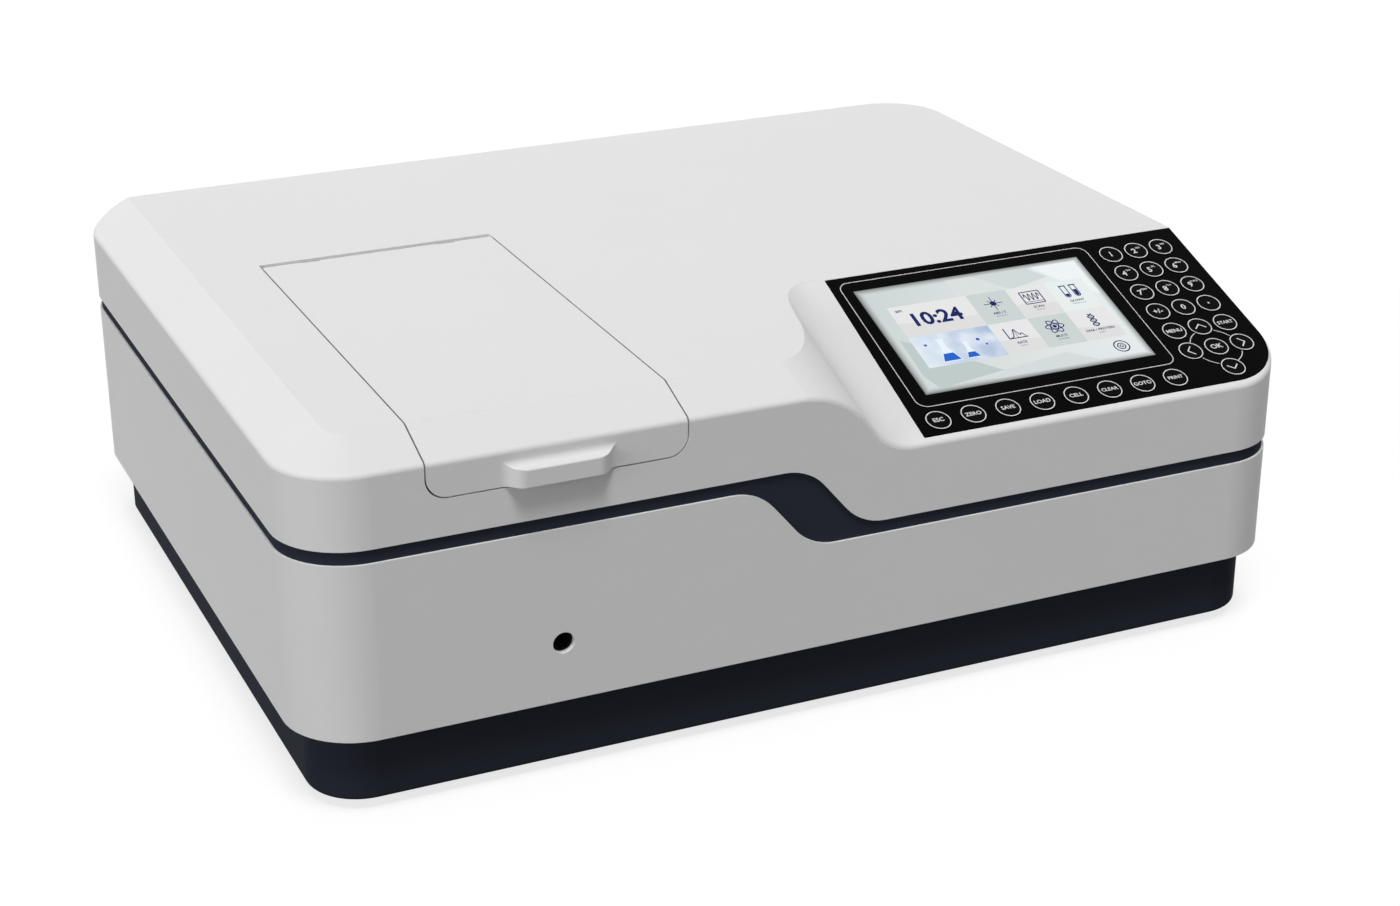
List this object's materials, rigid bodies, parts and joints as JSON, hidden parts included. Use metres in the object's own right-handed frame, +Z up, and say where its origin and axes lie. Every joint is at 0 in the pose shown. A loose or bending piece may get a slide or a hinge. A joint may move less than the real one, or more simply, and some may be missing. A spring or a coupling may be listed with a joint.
{
  "type": "spectrophotometer",
  "caption": "Double-beam bench spectrophotometer with hinged sample compartment lid, motorised cell changer, sloped console with display and keys.",
  "frame": {"origin": "on the surface it stands on, at the middle of the body's plan", "axes": "+X to the right seen from the front, +Y towards the rear panel, +Z up"},
  "size_m": [0.6, 0.4758, 0.2053],
  "materials": {
    "housing": "fine satin paint",
    "tray": "satin dark blue-black",
    "seam": "satin dark blue-black",
    "rubber": "matt",
    "seal": "matt foam",
    "well": "matt black",
    "panel": "gloss black",
    "key": "gloss black with a white ring",
    "screen": "lit display behind clear glass",
    "steel": "ground",
    "sheet_metal": "satin sheet",
    "cast_aluminium": "cast",
    "black_anodised": "satin black anodised",
    "motor": "satin black",
    "circuit_board": "green solder mask",
    "mirror": "polished",
    "lamp_glass": "clear",
    "fan": "satin black",
    "inlet": "satin black"
  },
  "bodies": {
    "instrument": {"base_tray": "tray", "rubber_feet": "rubber", "lower_housing": "housing", "seam_strip": "seam", "top_cover": "housing", "hinge_pin": "steel", "lid_seal": "seal", "sample_well": "well", "key_panel": "panel", "screen_glass": "screen", "display_module": "sheet_metal", "key_board": "circuit_board", "optical_bed": "cast_aluminium", "guide_rods": "steel", "carriage_motor": "motor", "reference_holder": "black_anodised", "detector_blocks": "black_anodised", "monochromator_case": "cast_aluminium", "mirrors": "mirror", "lamp_house": "sheet_metal", "lamps": "lamp_glass", "main_board": "circuit_board", "power_supply": "sheet_metal", "fan_frame": "fan", "power_inlet": "inlet"},
    "lid": {"sample_lid": "housing"},
    "carriage": {"cell_carriage": "black_anodised"},
    "drive_screw": {"lead_screw": "steel"},
    "turntable": {"grating_turntable": "black_anodised"},
    "source_selector": {"source_mirror": "mirror"},
    "filter_disc": {"filter_wheel": "black_anodised"},
    "rotor": {"fan_rotor": "fan"},
    "rocker": {"rocker_switch": "inlet"},
    "row_key_1_body": {"row_key_1": "key"},
    "row_key_2_body": {"row_key_2": "key"},
    "row_key_3_body": {"row_key_3": "key"},
    "row_key_4_body": {"row_key_4": "key"},
    "row_key_5_body": {"row_key_5": "key"},
    "row_key_6_body": {"row_key_6": "key"},
    "row_key_7_body": {"row_key_7": "key"},
    "row_key_8_body": {"row_key_8": "key"},
    "pad_key_1_body": {"pad_key_1": "key"},
    "pad_key_2_body": {"pad_key_2": "key"},
    "pad_key_3_body": {"pad_key_3": "key"},
    "pad_key_4_body": {"pad_key_4": "key"},
    "pad_key_5_body": {"pad_key_5": "key"},
    "pad_key_6_body": {"pad_key_6": "key"},
    "pad_key_7_body": {"pad_key_7": "key"},
    "pad_key_8_body": {"pad_key_8": "key"},
    "pad_key_9_body": {"pad_key_9": "key"},
    "pad_key_sign_body": {"pad_key_sign": "key"},
    "pad_key_0_body": {"pad_key_0": "key"},
    "pad_key_point_body": {"pad_key_point": "key"},
    "pad_key_menu_body": {"pad_key_menu": "key"},
    "pad_key_up_body": {"pad_key_up": "key"},
    "pad_key_start_body": {"pad_key_start": "key"},
    "pad_key_left_body": {"pad_key_left": "key"},
    "pad_key_ok_body": {"pad_key_ok": "key"},
    "pad_key_right_body": {"pad_key_right": "key"},
    "pad_key_down_body": {"pad_key_down": "key"}
  },
  "joints": [
    {"name": "lid_hinge", "type": "hinge", "parent": "instrument", "child": "lid", "pos_m": [-0.1585, 0.0588, 0.2008], "axis": [-1, 0, 0], "range_deg": [0, 80]},
    {"name": "carriage_slide", "type": "slide", "parent": "instrument", "child": "carriage", "axis": [0, 1, 0], "range_m": [0, 0.064]},
    {"name": "screw_spin", "type": "hinge", "parent": "instrument", "child": "drive_screw", "pos_m": [-0.1365, 0, 0.0803], "axis": [0, 1, 0], "range_deg": [0, 2881]},
    {"name": "grating_turn", "type": "hinge", "parent": "instrument", "child": "turntable", "pos_m": [-0.012, 0.0735, 0.0663], "axis": [0, 0, 1], "range_deg": [-20, 25]},
    {"name": "source_mirror_turn", "type": "hinge", "parent": "instrument", "child": "source_selector", "pos_m": [-0.165, 0.1475, 0.0663], "axis": [0, 0, 1], "range_deg": [-30, 30]},
    {"name": "filter_wheel_spin", "type": "hinge", "parent": "instrument", "child": "filter_disc", "pos_m": [-0.092, 0.1325, 0.091], "axis": [1, 0, 0], "continuous": true},
    {"name": "fan_spin", "type": "hinge", "parent": "instrument", "child": "rotor", "pos_m": [-0.2, 0.218, 0.098], "axis": [0, 1, 0], "continuous": true},
    {"name": "mains_rocker", "type": "hinge", "parent": "instrument", "child": "rocker", "pos_m": [0.232, 0.231, 0.095], "axis": [0, 0, 1], "range_deg": [-16, 0]},
    {"name": "row_key_1_press", "type": "slide", "parent": "instrument", "child": "row_key_1_body", "axis": [0, 0.3375, -0.9413], "range_m": [0, 0.00045], "stiffness_N_per_m": 800, "springref_m": -0.0004},
    {"name": "row_key_2_press", "type": "slide", "parent": "instrument", "child": "row_key_2_body", "axis": [0, 0.3375, -0.9413], "range_m": [0, 0.00045], "stiffness_N_per_m": 800, "springref_m": -0.0004},
    {"name": "row_key_3_press", "type": "slide", "parent": "instrument", "child": "row_key_3_body", "axis": [0, 0.3375, -0.9413], "range_m": [0, 0.00045], "stiffness_N_per_m": 800, "springref_m": -0.0004},
    {"name": "row_key_4_press", "type": "slide", "parent": "instrument", "child": "row_key_4_body", "axis": [0, 0.3375, -0.9413], "range_m": [0, 0.00045], "stiffness_N_per_m": 800, "springref_m": -0.0004},
    {"name": "row_key_5_press", "type": "slide", "parent": "instrument", "child": "row_key_5_body", "axis": [0, 0.3375, -0.9413], "range_m": [0, 0.00045], "stiffness_N_per_m": 800, "springref_m": -0.0004},
    {"name": "row_key_6_press", "type": "slide", "parent": "instrument", "child": "row_key_6_body", "axis": [0, 0.3375, -0.9413], "range_m": [0, 0.00045], "stiffness_N_per_m": 800, "springref_m": -0.0004},
    {"name": "row_key_7_press", "type": "slide", "parent": "instrument", "child": "row_key_7_body", "axis": [0, 0.3375, -0.9413], "range_m": [0, 0.00045], "stiffness_N_per_m": 800, "springref_m": -0.0004},
    {"name": "row_key_8_press", "type": "slide", "parent": "instrument", "child": "row_key_8_body", "axis": [0, 0.3375, -0.9413], "range_m": [0, 0.00045], "stiffness_N_per_m": 800, "springref_m": -0.0004},
    {"name": "pad_key_1_press", "type": "slide", "parent": "instrument", "child": "pad_key_1_body", "axis": [0, 0.3375, -0.9413], "range_m": [0, 0.00045], "stiffness_N_per_m": 800, "springref_m": -0.0004},
    {"name": "pad_key_2_press", "type": "slide", "parent": "instrument", "child": "pad_key_2_body", "axis": [0, 0.3375, -0.9413], "range_m": [0, 0.00045], "stiffness_N_per_m": 800, "springref_m": -0.0004},
    {"name": "pad_key_3_press", "type": "slide", "parent": "instrument", "child": "pad_key_3_body", "axis": [0, 0.3375, -0.9413], "range_m": [0, 0.00045], "stiffness_N_per_m": 800, "springref_m": -0.0004},
    {"name": "pad_key_4_press", "type": "slide", "parent": "instrument", "child": "pad_key_4_body", "axis": [0, 0.3375, -0.9413], "range_m": [0, 0.00045], "stiffness_N_per_m": 800, "springref_m": -0.0004},
    {"name": "pad_key_5_press", "type": "slide", "parent": "instrument", "child": "pad_key_5_body", "axis": [0, 0.3375, -0.9413], "range_m": [0, 0.00045], "stiffness_N_per_m": 800, "springref_m": -0.0004},
    {"name": "pad_key_6_press", "type": "slide", "parent": "instrument", "child": "pad_key_6_body", "axis": [0, 0.3375, -0.9413], "range_m": [0, 0.00045], "stiffness_N_per_m": 800, "springref_m": -0.0004},
    {"name": "pad_key_7_press", "type": "slide", "parent": "instrument", "child": "pad_key_7_body", "axis": [0, 0.3375, -0.9413], "range_m": [0, 0.00045], "stiffness_N_per_m": 800, "springref_m": -0.0004},
    {"name": "pad_key_8_press", "type": "slide", "parent": "instrument", "child": "pad_key_8_body", "axis": [0, 0.3375, -0.9413], "range_m": [0, 0.00045], "stiffness_N_per_m": 800, "springref_m": -0.0004},
    {"name": "pad_key_9_press", "type": "slide", "parent": "instrument", "child": "pad_key_9_body", "axis": [0, 0.3375, -0.9413], "range_m": [0, 0.00045], "stiffness_N_per_m": 800, "springref_m": -0.0004},
    {"name": "pad_key_sign_press", "type": "slide", "parent": "instrument", "child": "pad_key_sign_body", "axis": [0, 0.3375, -0.9413], "range_m": [0, 0.00045], "stiffness_N_per_m": 800, "springref_m": -0.0004},
    {"name": "pad_key_0_press", "type": "slide", "parent": "instrument", "child": "pad_key_0_body", "axis": [0, 0.3375, -0.9413], "range_m": [0, 0.00045], "stiffness_N_per_m": 800, "springref_m": -0.0004},
    {"name": "pad_key_point_press", "type": "slide", "parent": "instrument", "child": "pad_key_point_body", "axis": [0, 0.3375, -0.9413], "range_m": [0, 0.00045], "stiffness_N_per_m": 800, "springref_m": -0.0004},
    {"name": "pad_key_menu_press", "type": "slide", "parent": "instrument", "child": "pad_key_menu_body", "axis": [0, 0.3375, -0.9413], "range_m": [0, 0.00045], "stiffness_N_per_m": 800, "springref_m": -0.0004},
    {"name": "pad_key_up_press", "type": "slide", "parent": "instrument", "child": "pad_key_up_body", "axis": [0, 0.3375, -0.9413], "range_m": [0, 0.00045], "stiffness_N_per_m": 800, "springref_m": -0.0004},
    {"name": "pad_key_start_press", "type": "slide", "parent": "instrument", "child": "pad_key_start_body", "axis": [0, 0.3375, -0.9413], "range_m": [0, 0.00045], "stiffness_N_per_m": 800, "springref_m": -0.0004},
    {"name": "pad_key_left_press", "type": "slide", "parent": "instrument", "child": "pad_key_left_body", "axis": [0, 0.3375, -0.9413], "range_m": [0, 0.00045], "stiffness_N_per_m": 800, "springref_m": -0.0004},
    {"name": "pad_key_ok_press", "type": "slide", "parent": "instrument", "child": "pad_key_ok_body", "axis": [0, 0.3375, -0.9413], "range_m": [0, 0.00045], "stiffness_N_per_m": 800, "springref_m": -0.0004},
    {"name": "pad_key_right_press", "type": "slide", "parent": "instrument", "child": "pad_key_right_body", "axis": [0, 0.3375, -0.9413], "range_m": [0, 0.00045], "stiffness_N_per_m": 800, "springref_m": -0.0004},
    {"name": "pad_key_down_press", "type": "slide", "parent": "instrument", "child": "pad_key_down_body", "axis": [0, 0.3375, -0.9413], "range_m": [0, 0.00045], "stiffness_N_per_m": 800, "springref_m": -0.0004}
  ],
  "couplings": [
    {"joint": "screw_spin", "follows": "carriage_slide", "rad_per_m": 785.4}
  ]
}
